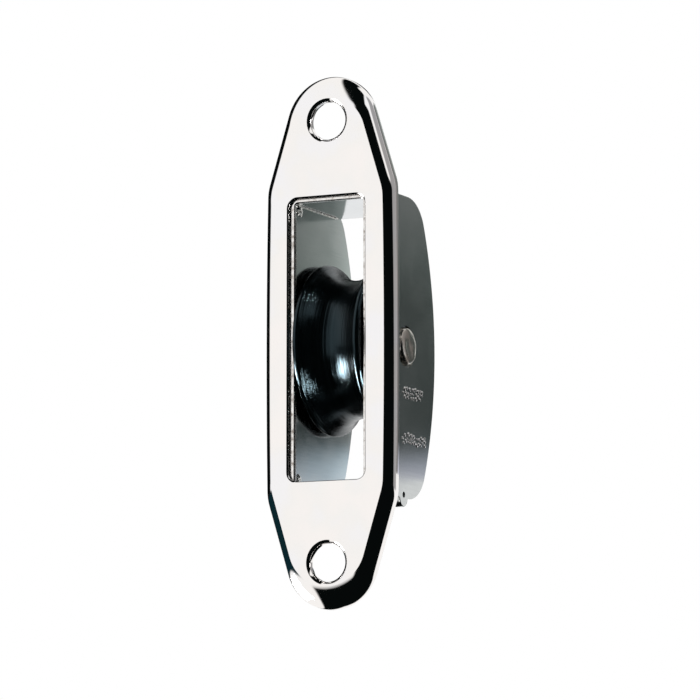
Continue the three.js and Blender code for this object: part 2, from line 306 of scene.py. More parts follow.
def black_acetal():
    # The specular tint paints a blue-green cast into every reflection on the sheave, a painted sheen
    # colour.
    material, shader = new_finish("black_acetal", IOR=1.45, Specular_Tint=(0.55, 0.85, 1.0, 1.0))
    lines = ring_coordinates(material, 3200)
    ramp(material, lines, shader.inputs["Base Color"],
         (0.3, (0.0008, 0.0014, 0.0018)), (0.7, (0.003, 0.006, 0.007)))
    ramp(material, ring_coordinates(material, 1400), shader.inputs["Roughness"],
         (0.3, grey(0.14)), (0.7, grey(0.28)))
    bump(material, shader, lines, 0.00007)
    return material


ACETAL = black_acetal()

# %% [markdown]
# ## Finish: natural acetal
# Balls and washers are moulded in undyed acetal, a milky white that lets a little light in. A low
# subsurface weight and a faint mottling are enough at this size.

# %% White acetal
def white_acetal():
    material, shader = new_finish("white_acetal", IOR=1.48, Subsurface_Weight=0.15,
                                  Subsurface_Scale=0.001)
    mottle = noise(material, (1, 1, 1), 600, 3.0)
    ramp(material, mottle, shader.inputs["Base Color"],
         (0.3, (0.74, 0.71, 0.63)), (0.7, (0.84, 0.82, 0.76)))
    ramp(material, mottle, shader.inputs["Roughness"], (0.3, grey(0.30)), (0.7, grey(0.42)))
    bump(material, shader, noise(material, (1, 1, 1), 1800, 2.0), 0.00001)
    return material


NATURAL = white_acetal()
print("finishes made:", [m.name for m in bpy.data.materials])

# %% [markdown]
# ## Shaping sheet metal from rings
# A pressed plate could be cut with booleans, but they leave long thin faces that show as ripples in
# a mirror finish. Here each border, the outline and every hole, is a stack of rings with the same
# number of points, from the front face to the back face. Walls join ring to ring, and only the two
# flat faces are filled. Their borders are marked sharp, so the flats stay optically flat.

# %% Ring builder
def loop_faces(mesh, first, second):
    for i in range(len(first)):
        j = (i + 1) % len(first)
        mesh.faces.new((first[i], first[j], second[j], second[i]))


def fill_flat(mesh, borders):
    edges = []
    for ring in borders:
        for i, vertex in enumerate(ring):
            edges.append(mesh.edges.get((vertex, ring[(i + 1) % len(ring)])))
    bmesh.ops.triangle_fill(mesh, edges=edges, use_beauty=True, use_dissolve=False)
    return edges


def mark_creases(mesh, crease):
    for edge in mesh.edges:
        if edge.calc_face_angle(0) > math.radians(crease):
            edge.smooth = False


def ring_solid(name, stacks, crease=40):
    mesh = bmesh.new()
    made = [[[mesh.verts.new(point) for point in ring] for ring in stack] for stack in stacks]
    for stack in made:
        for first, second in zip(stack, stack[1:]):
            loop_faces(mesh, first, second)
    front = fill_flat(mesh, [stack[0] for stack in made])
    rear = fill_flat(mesh, [stack[-1] for stack in made])
    bmesh.ops.recalc_face_normals(mesh, faces=mesh.faces[:])
    mark_creases(mesh, crease)
    for edge in front + rear:
        edge.smooth = False
    return add_object(name, mesh)


def add_object(name, mesh):
    data = bpy.data.meshes.new(name)
    for face in mesh.faces:
        face.smooth = True
    mesh.to_mesh(data)
    mesh.free()
    made = bpy.data.objects.new(name, data)
    bpy.context.scene.collection.objects.link(made)
    return made


def finish_piece(piece, material, body, slot, *nodes):
    piece.data.materials.append(material)
    if nodes:
        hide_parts(*nodes)
    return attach(piece, body)


# %% [markdown]
# ## Outlines in arcs
# Every outline is drawn with the same few pen strokes: an arc of a circle, a straight run cut into
# short steps, and a corner eased over a fraction of a millimetre. Short even steps matter, because
# a polished surface shows every facet.

# %% Pen strokes
def arc(cx, cy, radius, start, end, steps):
    turn = [start + (end - start) * i / steps for i in range(steps + 1)]
    return [(cx + radius * math.cos(a), cy + radius * math.sin(a)) for a in turn]


def circle(cx, cy, radius, steps):
    return arc(cx, cy, radius, 0, 2 * math.pi, steps)[:-1]


def run(a, b, steps):
    return [(a[0] + (b[0] - a[0]) * i / steps, a[1] + (b[1] - a[1]) * i / steps)
            for i in range(steps + 1)]


def eased(before, corner, after, reach, steps=6):
    """A corner rounded off between two straight runs, starting reach away from it."""
    corner = Vector(corner)
    start = corner + (Vector(before) - corner).normalized() * reach
    end = corner + (Vector(after) - corner).normalized() * reach
    points = []
    for i in range(steps + 1):
        t = i / steps
        point = start * (1 - t) ** 2 + corner * 2 * t * (1 - t) + end * t ** 2
        points.append((point.x, point.y))
    return points


def move_in(outline, distance):
    """A closed outline, drawn anticlockwise, moved in by a small distance."""
    moved = []
    for i, point in enumerate(outline):
        before = Vector(outline[i - 1])
        after = Vector(outline[(i + 1) % len(outline)])
        along = (after - before).normalized()
        moved.append((point[0] - along.y * distance, point[1] + along.x * distance))
    return moved


# %% [markdown]
# ## The cover plate
# On the real box a blank of 1.5 mm stainless sheet is pressed over a form: the face stays flat, the
# shoulder rolls over, and a short upright edge becomes the rim that lies on the mast. The shoulder
# is narrow along the sides and broad at the tips, and it keeps a mitre where side turns to taper.
# The outline is one quarter, mirrored: a bowed side, an eased kink, a 17 degree taper, a round tip.

# %% Plate outline
BOW = 0.25 * MM
KINK_Z = 26.9 * MM
TAPER = math.radians(17)
KINK_EASE = 1.2 * MM
HALF_LENGTH = plate_high.z
HALF_WIDTH = plate_high.x - BOW


def plate_quarter(half_width, kink_z, tip_z):
    side_radius = (kink_z ** 2 + BOW ** 2) / (2 * BOW)
    side_angle = math.asin(kink_z / side_radius)
    side = arc(half_width + BOW - side_radius, 0, side_radius, 0, side_angle, 40)
    reach = half_width * math.cos(TAPER) + kink_z * math.sin(TAPER)
    tip_centre = (tip_z - reach) / (1 - math.sin(TAPER))
    tip = arc(0, tip_centre, tip_z - tip_centre, TAPER, math.pi / 2, 36)
    kink = eased(side[-3], side[-1], tip[0], KINK_EASE)
    taper = run(kink[-1], tip[0], 14)
    return side[:-2] + kink + taper[1:-1] + tip


def mirrored(quarter):
    upper_left = [(-x, z) for x, z in reversed(quarter[:-1])]
    lower_left = [(-x, -z) for x, z in quarter[1:]]
    lower_right = [(x, -z) for x, z in reversed(quarter[1:-1])]
    return quarter + upper_left + lower_left + lower_right


def plate_ring(inset, y):
    kink_z = KINK_Z - inset * math.tan(TAPER / 2)
    outline = mirrored(plate_quarter(HALF_WIDTH - inset, kink_z, HALF_LENGTH - inset))
    return [(x, y, z) for x, z in outline]


print("one ring of the plate has", len(plate_ring(0, 0)), "points")

# %% [markdown]
# The shoulder's cross-section is an arc that leaves the flat face at a visible angle and meets the
# upright edge nearly square. `share` runs from 1 at the edge of the face to 0 at the upright edge,
# and the widths scale with it, which makes the shoulder broad at the tips.

# %% Shoulder, rim and hollow back
EDGE_HIGH = 1.3 * MM
SHOULDER_SIDE = 1.5 * MM
SHOULDER_KINK = 1.6 * MM
SHOULDER_TIP = 3.8 * MM
LEAVES_FACE = math.radians(20)
MEETS_EDGE = math.radians(84)
RIM_WIDTH = 1.6 * MM
RIM_EASE = 0.15 * MM
POCKET_Y = FACE_Y + 1.5 * MM


def shoulder_ring(angle):
    width = math.sin(MEETS_EDGE) - math.sin(LEAVES_FACE)
    drop = math.cos(LEAVES_FACE) - math.cos(MEETS_EDGE)
    share = 1 - (math.sin(angle) - math.sin(LEAVES_FACE)) / width
    depth = (math.cos(LEAVES_FACE) - math.cos(angle)) / drop
    outline = mirrored(plate_quarter(
        HALF_WIDTH - SHOULDER_SIDE * share,
        KINK_Z - SHOULDER_KINK * share,
        HALF_LENGTH - SHOULDER_TIP * share,
    ))
    y = FACE_Y + (-EDGE_HIGH - FACE_Y) * depth
    return [(x, y, z) for x, z in outline]


def plate_border():
    steps = 16
    rings = []
    for i in range(steps + 1):
        rings.append(shoulder_ring(LEAVES_FACE + (MEETS_EDGE - LEAVES_FACE) * i / steps))
    rings.append(plate_ring(0, -0.6 * EDGE_HIGH))
    for i in range(5):
        turn = math.pi / 2 * i / 4
        rings.append(plate_ring(RIM_EASE * (1 - math.cos(turn)), RIM_EASE * (math.sin(turn) - 1)))
    rings.append(plate_ring(RIM_WIDTH - RIM_EASE, 0))
    rings.append(plate_ring(RIM_WIDTH, -RIM_EASE))
    rings.append(plate_ring(RIM_WIDTH, POCKET_Y + RIM_EASE))
    rings.append(plate_ring(RIM_WIDTH + RIM_EASE, POCKET_Y))
    return rings


# %% [markdown]
# The window is punched from the front, which rolls its front edge over. It sits a third of a
# millimetre high on the plate, and it is a little larger than the box behind, so the front edges of
# the box show as a narrow ledge inside it. The two screw holes are drilled, then eased by hand.

# %% Window and screw holes
WINDOW_X = 7.6 * MM
WINDOW_Z = 24.85 * MM
WINDOW_LEFT = 0.1 * MM
WINDOW_HIGH = 0.35 * MM
WINDOW_CORNER = 2.0 * MM
WINDOW_ROLL = 0.4 * MM
WINDOW_LEAN = 0.02 * MM
SCREW_Z = 38.1 * MM
SCREW_R = 3.3 * MM
SINK_R = 3.85 * MM


def window_ring(inset, y):
    w, h, r = WINDOW_X - inset, WINDOW_Z - inset, WINDOW_CORNER - inset
    outline = []
    for i, (sx, sz) in enumerate([(1, 1), (-1, 1), (-1, -1), (1, -1)]):
        outline += arc(sx * (w - r) - WINDOW_LEFT, WINDOW_HIGH + sz * (h - r), r, i * math.pi / 2,
                       (i + 1) * math.pi / 2, 10)
    return [(x, y, z) for x, z in outline]


def window_border():
    rings = []
    for i in range(8):
        turn = math.pi / 2 * i / 7
        inset = WINDOW_ROLL * math.sin(turn)
        rings.append(window_ring(inset, FACE_Y + WINDOW_ROLL * (1 - math.cos(turn))))
    rings.append(window_ring(WINDOW_ROLL + WINDOW_LEAN, POCKET_Y))
    return rings


def screw_border(z):
    eased_sink = [(SINK_R, 0), (SINK_R - 0.1 * MM, 0.06 * MM), (SCREW_R + 0.1 * MM, 0.42 * MM),
                  (SCREW_R, 0.56 * MM), (SCREW_R, POCKET_Y - FACE_Y)]
    rings = []
    for radius, depth in eased_sink:
        rings.append([(x, FACE_Y + depth, up_z) for x, up_z in circle(0, z, radius, 64)])
    return rings


# %% [markdown]
# The front edges of the box are let into the window along both sides and the top. They were dressed
# flush with each other, so they are made as one flat arch with eased edges. Its outer line lies just
# inside the window's wall, and its inner line is where the box begins.

# %% Box edge inside the window
LEDGE_HALF = 6.55 * MM
LEDGE_TOP = 24.25 * MM
LEDGE_CORNER = 0.6 * MM
LEDGE_DEEP = 0.75 * MM
LEDGE_THICK = 0.85 * MM
LEDGE_EASE = 0.1 * MM
LEDGE_OVERLAP = 0.02 * MM


def dressed_edge():
    wall = WINDOW_ROLL - LEDGE_OVERLAP
    side = WINDOW_X - wall
    top = WINDOW_Z - wall
    r = WINDOW_CORNER - wall
    foot = WINDOW_HIGH - top
    quarter = math.pi / 2
    outer = [(side - WINDOW_LEFT, foot)]
    outer += arc(side - WINDOW_LEFT - r, WINDOW_HIGH + top - r, r, 0, quarter, 8)
    outer += arc(-side - WINDOW_LEFT + r, WINDOW_HIGH + top - r, r, quarter, math.pi, 8)
    outer += [(-side - WINDOW_LEFT, foot)]
    corner_x = LEDGE_HALF - LEDGE_CORNER
    corner_z = LEDGE_TOP - LEDGE_CORNER
    inner = [(-LEDGE_HALF, foot)]
    inner += arc(-corner_x, corner_z, LEDGE_CORNER, math.pi, quarter, 6)
    inner += arc(corner_x, corner_z, LEDGE_CORNER, quarter, 0, 6)
    inner += [(LEDGE_HALF, foot)]
    steps = ((LEDGE_EASE, 0), (0.3 * LEDGE_EASE, 0.3 * LEDGE_EASE), (0, LEDGE_EASE), (0, LEDGE_THICK))
    rings = []
    for inset, depth in steps:
        front = FACE_Y + LEDGE_DEEP + depth
        rings.append([(x, front, z) for x, z in move_in(outer + inner, inset)])
    piece = ring_solid("dressed_box_edge", [rings])
    return finish_piece(piece, SHEARED, "housing", "polished_steel")


dressed_edge()
print("the ledge in the window is", round((WINDOW_X - WINDOW_ROLL - LEDGE_HALF) / MM, 2), "mm wide")

# %% [markdown]
# With its four borders ready, the plate is one solid: the outside, the window and two screw holes.

# %% Join the plate's borders
plate_stacks = [plate_border(), window_border(), screw_border(SCREW_Z), screw_border(-SCREW_Z)]
cover = ring_solid("pressed_cover_plate", plate_stacks)
finish_piece(cover, POLISHED, "housing", "polished_steel", "cover_plate")
print("cover plate has", len(cover.data.polygons), "faces")

# %% [markdown]
# ## The cheeks
# Each cheek is a flat blank: straight in front, square corners there, a long shallow curve behind,
# and round corners between. Deburring leaves a tiny round on every edge. The same stamping serves
# both sides, and it carries a small lug with a pinhole at its lower edge. Round the axle hole the
# outer face is sunk a little, as a seat for the riveted head.

# %% Cheek outline
REAR_RADIUS = 58 * MM
CORNER_R = 7 * MM
LUG_R = 1.6 * MM
LUG_Y = 9.6 * MM
LUG_SINK = 0.1 * MM
PIN_R = 0.5 * MM
PIN_UP = 0.6 * MM
HOLE_EASE = 0.05 * MM
DEBURR = 0.13 * MM
BORE_R = 3.05 * MM
SEAT_R = axle_high.z + 0.05 * MM
SEAT_DEEP = 0.5 * MM
CHEEK_TOP = cheek_high.z


def cheek_outline():
    rear_centre = cheek_high.y - REAR_RADIUS
    corner_z = CHEEK_TOP - CORNER_R
    corner_y = rear_centre + math.sqrt((REAR_RADIUS - CORNER_R) ** 2 - corner_z ** 2)
    turn = math.atan2(corner_z, corner_y - rear_centre)
    dip = math.asin(LUG_SINK / LUG_R)
    lug_half = LUG_R * math.cos(dip)
    front = POCKET_Y
    bottom = run((front, -CHEEK_TOP), (LUG_Y - lug_half, -CHEEK_TOP), 8)
    lug = arc(LUG_Y, -CHEEK_TOP + LUG_SINK, LUG_R, -math.pi + dip, -dip, 16)
    shelf = run((LUG_Y + lug_half, -CHEEK_TOP), (corner_y, -CHEEK_TOP), 3)
    low_corner = arc(corner_y, -corner_z, CORNER_R, -math.pi / 2, -turn, 14)
    rear = arc(rear_centre, 0, REAR_RADIUS, -turn, turn, 48)
    high_corner = arc(corner_y, corner_z, CORNER_R, turn, math.pi / 2, 14)
    top = run((corner_y, CHEEK_TOP), (front, CHEEK_TOP), 12)
    down = run((front, CHEEK_TOP), (front, -CHEEK_TOP), 30)
    return (bottom[:-1] + lug + shelf[1:-1] + low_corner[:-1] + rear[:-1] + high_corner[:-1]
            + top[:-1] + down[:-1])


def through_sheet(outline, near, far, burr):
    """Rings of one border through a sheet that lies square to X, with both edges eased."""
    step = math.copysign(burr, far - near)
    spots = []
    for i in range(4):
        turn = math.pi / 2 * i / 3
        spots.append((burr * (1 - math.sin(turn)), near + step * (1 - math.cos(turn))))
    spots += [(inset, near + far - x) for inset, x in reversed(spots)]
    return [[(x, y, z) for y, z in move_in(outline, inset)] for inset, x in spots]


def cheek(name, side, node):
    near, far = side * CHEEK_IN, side * CHEEK_OUT
    pin = arc(LUG_Y, -CHEEK_TOP + PIN_UP, PIN_R, 2 * math.pi, 0, 20)[:-1]
    stacks = [through_sheet(outline, near, far, burr)
              for outline, burr in ((cheek_outline(), DEBURR), (pin, HOLE_EASE))]
    sunk = far - side * SEAT_DEEP
    bore = []
    for radius, x in ((BORE_R, near), (BORE_R, sunk), (SEAT_R - 0.1 * MM, sunk), (SEAT_R, far)):
        turn_back = arc(AXLE_Y, 0, radius, 2 * math.pi, 0, 64)[:-1]
        bore.append([(x, y, z) for y, z in turn_back])
    stacks.append(bore)
    piece = ring_solid(name, stacks)
    return finish_piece(piece, CHEEK_STEEL, "housing", "satin_steel", node)


cheek("right_side_cheek", 1, "right_cheek")
cheek("left_side_cheek", -1, "left_cheek")
print("cheeks reach", round(cheek_high.y / MM, 1), "mm back")

# %% [markdown]
# ## The end walls
# Two short walls close the box above and below. Their rear edges are rounded over, so that a rope
# never meets a corner. Each is one outline, seen from the side, pushed across between the cheeks.

# %% End walls
def end_wall(name, node):
    low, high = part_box(node)
    middle = (low.z + high.z) / 2
    half = (high.z - low.z) / 2
    outline = run((POCKET_Y, -half), (high.y - half, -half), 16)[:-1]
    outline += arc(high.y - half, 0, half, -math.pi / 2, math.pi / 2, 16)
    outline += run((high.y - half, half), (POCKET_Y, half), 16)[1:]
    lifted = [(y, middle + z) for y, z in outline]
    rings = [[(x, y, z) for y, z in lifted] for x in (-CHEEK_IN, CHEEK_IN)]
    piece = ring_solid(name, [rings])
    return finish_piece(piece, WALL_STEEL, "housing", "satin_steel", node)


end_wall("upper_end_wall", "top_end_wall")
end_wall("lower_end_wall", "bottom_end_wall")

# %% [markdown]
# ## Weld seams
# The walls are welded to the cheeks from inside. A seam is a thin fillet with a hollow face that
# catches one bright line, and it starts in a fatter bead against the plate. The section is swept
# along Y, and small waves in its size, from two sines out of step, give the ripples of the weld.
# Each corner also keeps the lump of the tack weld that held the box while it was seamed.

# %% Weld seams
SEAM_R = 0.3 * MM
BEAD_R = 0.9 * MM
BEAD_LONG = 1.2 * MM
SEAM_ROOT = 0.05 * MM
TACK_BACK = 1.6 * MM
TACK_OFF = 0.9 * MM
TACK_SHAPE = (0.45, 1.35, 1.05)


def seam_section(size, steps=6):
    """A hollow-faced fillet in its corner: right angle at the origin, arms along +u and +v."""
    hollow = arc(size, size, size, math.pi, 1.5 * math.pi, steps)
    return [(-SEAM_ROOT, -SEAM_ROOT)] + hollow[::-1]


def seam(name, side, end, node):
    low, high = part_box(node)
    inner_z = low.z if end > 0 else high.z
    start, stop = POCKET_Y + 0.02 * MM, high.y - 1.2 * MM
    steps = 90
    rings = []
    for i in range(steps + 1):
        y = start + (stop - start) * i / steps
        bead = math.exp(-((y - start) / BEAD_LONG) ** 2)
        fade = min(1.0, (steps - i + 1) / 8)
        ripple = 1 + 0.05 * math.sin(i * 1.9) + 0.04 * math.sin(i * 0.83 + end)
        size = (SEAM_R + (BEAD_R - SEAM_R) * bead) * ripple * fade
        ring = []
        for u, v in seam_section(size):
            ring.append((side * (CHEEK_IN - u), y, inner_z - end * v))
        rings.append(ring)
    piece = ring_solid(name, [rings], crease=60)
    return finish_piece(piece, WELD, "housing", "satin_steel")


def tack(name, side, end, node, size):
    """A lump of weld metal in the corner, flattened against the cheek."""
    low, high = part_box(node)
    mesh = bmesh.new()
    bmesh.ops.create_icosphere(mesh, subdivisions=4, radius=1)
    inner_z = low.z if end > 0 else high.z
    middle = Vector((side * CHEEK_IN, POCKET_Y + TACK_BACK, inner_z - end * TACK_OFF))
    for vertex in mesh.verts:
        x, y, z = vertex.co
        lump = 1 + 0.10 * math.sin(5 * y + 3 * z + end) + 0.07 * math.sin(9 * z - 4 * y + side)
        vertex.co = middle + vertex.co * Vector(TACK_SHAPE) * lump * size
    piece = add_object(name, mesh)
    return finish_piece(piece, WELD, "housing", "satin_steel")


for end, level, node in ((1, "upper", "top_end_wall"), (-1, "lower", "bottom_end_wall")):
    for side, hand in ((1, "right"), (-1, "left")):
        seam(f"{level}_{hand}_weld_seam", side, end, node)
        tack(f"{level}_{hand}_tack_weld", side, end, node, (1.0 if end > 0 else 0.7) * MM)

# %% [markdown]
# ## Turned pieces
# Sheave, axle, race, washers and retainers all come off a lathe. One helper spins a closed outline
# of (radius, x) points round the axle. The angle steps are fine enough that the outline of a 30 mm
# wheel shows no corners.

# %% Lathe
def turned(name, outline, steps, crease=35):
    mesh = bmesh.new()
    rings = []
    for i in range(steps):
        angle = 2 * math.pi * i / steps
        c, s = math.cos(angle), math.sin(angle)
        rings.append([mesh.verts.new((x, AXLE_Y + r * c, r * s)) for r, x in outline])
    for i in range(steps):
        here, there = rings[i], rings[(i + 1) % steps]
        loop_faces(mesh, here, there)
    bmesh.ops.remove_doubles(mesh, verts=mesh.verts[:], dist=1e-7)
    bmesh.ops.recalc_face_normals(mesh, faces=mesh.faces[:])
    mark_creases(mesh, crease)
    return add_object(name, mesh)


def soft_ring(bore, outer, x0, x1, ease):
    """The section of a ring whose four corners are eased."""
    corners = [(bore, x0), (outer, x0), (outer, x1), (bore, x1)]
    points = []
    for i, corner in enumerate(corners):
        points += eased(corners[i - 1], corner, corners[(i + 1) % 4], ease, 4)
    return points


# %% [markdown]
# ## The sheave
# The groove is a single arc, made for rope of 8 to 10 mm, and it runs tangent into a full round lip
# on each side. A recess in each side takes the ring that keeps the balls in. Fine turned rings are
# left to the finish, because each is far less than a tenth of a millimetre deep.

# %% Sheave outline
WHEEL_R = wheel_high.z
WHEEL_SIDE = wheel_high.x
FLOOR_R = 12.0 * MM
LIP_R = 0.65 * MM
RACE_R = 8.7 * MM
RECESS_R = 10 * MM
RECESS_X = 3.9 * MM


def sheave_outline():
    lip_x = WHEEL_SIDE - LIP_R
    lip_high = WHEEL_R - LIP_R
    drop = lip_high - FLOOR_R
    groove_r = (lip_x ** 2 + drop ** 2 - LIP_R ** 2) / (2 * (LIP_R + drop))
    lean = math.atan2(lip_x, FLOOR_R + groove_r - lip_high)
    lip = arc(0, 0, LIP_R, math.pi, math.pi / 2 - lean, 18)
    left = [(lip_high + v, -lip_x + u) for u, v in lip]
    groove = arc(0, 0, groove_r, -math.pi / 2 - lean, -math.pi / 2 + lean, 44)
    floor = [(FLOOR_R + groove_r + v, u) for u, v in groove[1:-1]]
    right_lip = [(r, -x) for r, x in reversed(left)]
    step = 0.6 * MM
    half = [(RACE_R, 0), (RACE_R, -RECESS_X), (RECESS_R, -RECESS_X),
            (RECESS_R, -WHEEL_SIDE + 0.15 * MM), (RECESS_R + 0.15 * MM, -WHEEL_SIDE),
            (RECESS_R + 1.6 * MM, -WHEEL_SIDE), (RECESS_R + 1.7 * MM, -WHEEL_SIDE + 0.1 * MM),
            (RECESS_R + 1.9 * MM, -WHEEL_SIDE + 0.1 * MM), (RECESS_R + 2.0 * MM, -WHEEL_SIDE),
            (lip_high - step, -WHEEL_SIDE)]
    other = [(r, -x) for r, x in reversed(half[1:])]
    return half + left + floor + right_lip + other


sheave = turned("turned_sheave", sheave_outline(), 180)
finish_piece(sheave, ACETAL, "sheave", "black_acetal", "sheave_wheel")
print("sheave is", round(2 * WHEEL_R / MM, 1), "mm across, groove floor", round(2 * FLOOR_R / MM, 1))

# %% [markdown]
# ## Ball retainers, washers and inner race
# A retainer ring is pressed into each recess and keeps the balls in. It has a shallow turned groove
# for the extractor. The thrust washers keep the sheave off the cheeks, and the inner race is a
# plain ground sleeve. All take their width from their CAD nodes.

# %% Rings on the axle
def ring_piece(name, node, bore, ease, material, body, slot):
    low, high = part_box(node)
    outline = soft_ring(bore, high.z, low.x, high.x, ease)
    return finish_piece(turned(name, outline, 96), material, body, slot, node)


def retainer(name, node, side):
    low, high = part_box(node)
    outer = high.z
    x_in, x_out = (low.x, high.x) if side > 0 else (high.x, low.x)
    bore, groove_r, groove_deep = 6 * MM, 7.6 * MM, 0.25 * MM
    ease = side * 0.15 * MM
    outline = [(bore, x_in), (outer, x_in), (outer, x_out - ease), (outer - abs(ease), x_out),
               (groove_r + 0.5 * MM, x_out), (groove_r + 0.3 * MM, x_out - side * groove_deep),
               (groove_r - 0.3 * MM, x_out - side * groove_deep), (groove_r - 0.5 * MM, x_out),
               (bore + abs(ease), x_out), (bore, x_out - ease)]
    return finish_piece(turned(name, outline, 96, 20), ACETAL, "sheave", "black_acetal", node)


retainer("right_retainer_ring", "right_ball_retainer", 1)
retainer("left_retainer_ring", "left_ball_retainer", -1)
for hand in ("right", "left"):
    ring_piece(f"{hand}_washer", f"{hand}_thrust_washer", 3.1 * MM, 0.12 * MM, NATURAL,
               "housing", "white_acetal")
ring_piece("ground_inner_race", "bearing_inner_race", 3.1 * MM, 0.2 * MM, RACE,
           "housing", "race_steel")

# %% [markdown]
# ## The balls
# Moulded balls show a faint flash line where the two halves of the mould met. One ball is turned
# with a narrow raised band round its middle, and every other ball shares its mesh, turned at random
# from a fixed seed so that the flash lines point all ways. Each goes to the centre of its CAD node.

# %% Balls
ball_low, ball_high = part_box("right_ball_01")
BALL_R = (ball_high.x - ball_low.x) / 2
FLASH = 0.015 * MM
chance = random.Random(7)


def ball_mesh():
    mesh = bmesh.new()
    bmesh.ops.create_uvsphere(mesh, u_segments=32, v_segments=24, radius=BALL_R - FLASH)
    for vertex in mesh.verts:
        if abs(vertex.co.z) < 0.03 * BALL_R:
            vertex.co *= BALL_R / vertex.co.length
    made = add_object("moulded_ball_pattern", mesh)
    data = made.data
    bpy.data.objects.remove(made)
    data.materials.append(NATURAL)
    return data


ball_data = ball_mesh()
for node in sorted(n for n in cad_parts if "_ball_" in n and n[-2:].isdigit()):
    low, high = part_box(node)
    ball = bpy.data.objects.new(f"moulded_{node}", ball_data)
    bpy.context.scene.collection.objects.link(ball)
    ball.location = (low + high) / 2
    ball.rotation_euler = [chance.uniform(0, math.pi) for _ in range(3)]
    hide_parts(node)
    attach(ball, "ball_set")
print("balls placed, each", round(2 * BALL_R / MM, 2), "mm across")

# %% [markdown]
# ## The axle
# The axle is a plain pin whose ends were upset into heads with a hammer and a snap. A head has a
# low leaning side, a broad round shoulder and a slightly dished top, and no two blows fell alike.
# The pin is turned first, then the points of each head are pushed about by a smooth field of small
# waves.

# %% Axle with hammered heads
HEAD_R = axle_high.z - 0.2 * MM
HEAD_TOP = CHEEK_OUT + 0.75 * MM
HEAD_FOOT = CHEEK_OUT - SEAT_DEEP + 0.01 * MM
PIN_RADIUS = 2.95 * MM
FOOT_EASE = 0.1 * MM
FLANK_DRAFT = 0.25 * MM
SHOULDER_WIDE = 1.2 * MM
SHOULDER_HIGH = 0.4 * MM
TOP_DISH = 0.06 * MM


def axle_outline():
    half = [(PIN_RADIUS, 0), (PIN_RADIUS, HEAD_FOOT), (HEAD_R - FOOT_EASE, HEAD_FOOT),
            (HEAD_R, HEAD_FOOT + FOOT_EASE)]
    top_r = HEAD_R - FLANK_DRAFT
    for i in range(13):
        turn = math.pi / 2 * i / 12
        half.append((top_r - SHOULDER_WIDE * (1 - math.cos(turn)),
                     HEAD_TOP - SHOULDER_HIGH * (1 - math.sin(turn))))
    for i in range(1, 9):
        radius = (top_r - SHOULDER_WIDE) * (1 - i / 8)
        half.append((radius, HEAD_TOP - TOP_DISH * math.sin(math.pi / 2 * i / 8) ** 2))
    return half


def hammer(piece, deep):
    for vertex in piece.data.vertices:
        x, y, z = vertex.co
        out = abs(x) - CHEEK_OUT
        if out < 0.1 * MM:
            continue
        u, v = (y - AXLE_Y) / MM, z / MM
        wave = math.sin(1.9 * u + 1.1 * v + x / MM) + 0.7 * math.sin(2.7 * v - 1.3 * u + 0.5)
        press = min(1.0, out / (0.6 * MM))
        vertex.co.x -= math.copysign(deep * press * (0.85 + 0.5 * wave), x)
        swell = 1 - 0.02 * press * (1 + math.sin(3 * math.atan2(v, u) + 0.6 * x / MM))
        vertex.co.y = AXLE_Y + (y - AXLE_Y) * swell
        vertex.co.z = z * swell


half_axle = axle_outline()
full_axle = [(r, -x) for r, x in reversed(half_axle[1:])] + half_axle
axle = turned("riveted_axle", full_axle, 72)
hammer(axle, 0.05 * MM)
finish_piece(axle, RIVET, "housing", "axle_steel", "axle_pin")
print("axle head", round(2 * HEAD_R / MM, 1), "mm across")

# %% [markdown]
# ## Stamped marks
# A press leaves two short rows of marks on the right cheek, below the axle. These say nothing: each
# row is a scatter of small punch dots. Every dot is a low dome, less than a fifth of a millimetre
# proud, like metal thrown up round a punch.

# %% Stamped marks
MARK_HIGH = 0.16 * MM
MARK_ROOT = 0.02 * MM
MARK_BAND = 0.85 * MM
MARK_START = AXLE_Y - 1.6 * MM
BLOWS = 110


def punch_dot(mesh, y, z, size):
    dome = ((1.0, -MARK_ROOT), (0.95, 0.3 * MARK_HIGH), (0.75, 0.8 * MARK_HIGH), (0.4, MARK_HIGH))
    rings = []
    for grow, high in dome:
        ring = circle(y, z, size * grow, 14)
        rings.append([mesh.verts.new((CHEEK_OUT + high, u, v)) for u, v in ring])
    for first, second in zip(rings, rings[1:]):
        loop_faces(mesh, first, second)
    mesh.faces.new(rings[-1])
    mesh.faces.new(list(reversed(rings[0])))


def mark_row(name, z, long):
    """Punch dots scattered along a band, each kept clear of the ones before it."""
    mesh = bmesh.new()
    placed = []
    for _ in range(BLOWS):
        y = MARK_START + chance.uniform(0, long)
        lift = chance.uniform(-MARK_BAND, MARK_BAND)
        dot = (y, z + lift, chance.uniform(0.20, 0.42) * MM)
        if all(math.hypot(dot[0] - u, dot[1] - v) > dot[2] + size for u, v, size in placed):
            placed.append(dot)
            punch_dot(mesh, *dot)
    bmesh.ops.recalc_face_normals(mesh, faces=mesh.faces[:])
    return finish_piece(add_object(name, mesh), POLISHED, "housing", "satin_steel")


mark_row("upper_stamped_marks", -8.0 * MM, 8.2 * MM)
mark_row("lower_stamped_marks", -16.0 * MM, 9.2 * MM)

# %% [markdown]
# ## The studio
# Polished metal has no colour of its own: it shows the room. The room here is a white tent with a
# black flag in front on the right, so that the right shoulder turns black, and darker cloth low on
# the left. The tent is the world shader, built from directions. Each dark zone is a soft-edged mask
# on the direction that a ray leaves in, so it is the same room from every side.

# %% World kit
world = bpy.data.worlds.new("tent")
bpy.context.scene.world = world
world.use_nodes = True
tree = world.node_tree
direction = tree.nodes.new("ShaderNodeTexCoord").outputs["Generated"]


def facing(axis):
    """How far a ray points along an axis, from -1 to 1."""
    node = tree.nodes.new("ShaderNodeVectorMath")
    node.operation = "DOT_PRODUCT"
    node.inputs[1].default_value = Vector(axis).normalized()
    tree.links.new(direction, node.inputs[0])
    return node.outputs["Value"]


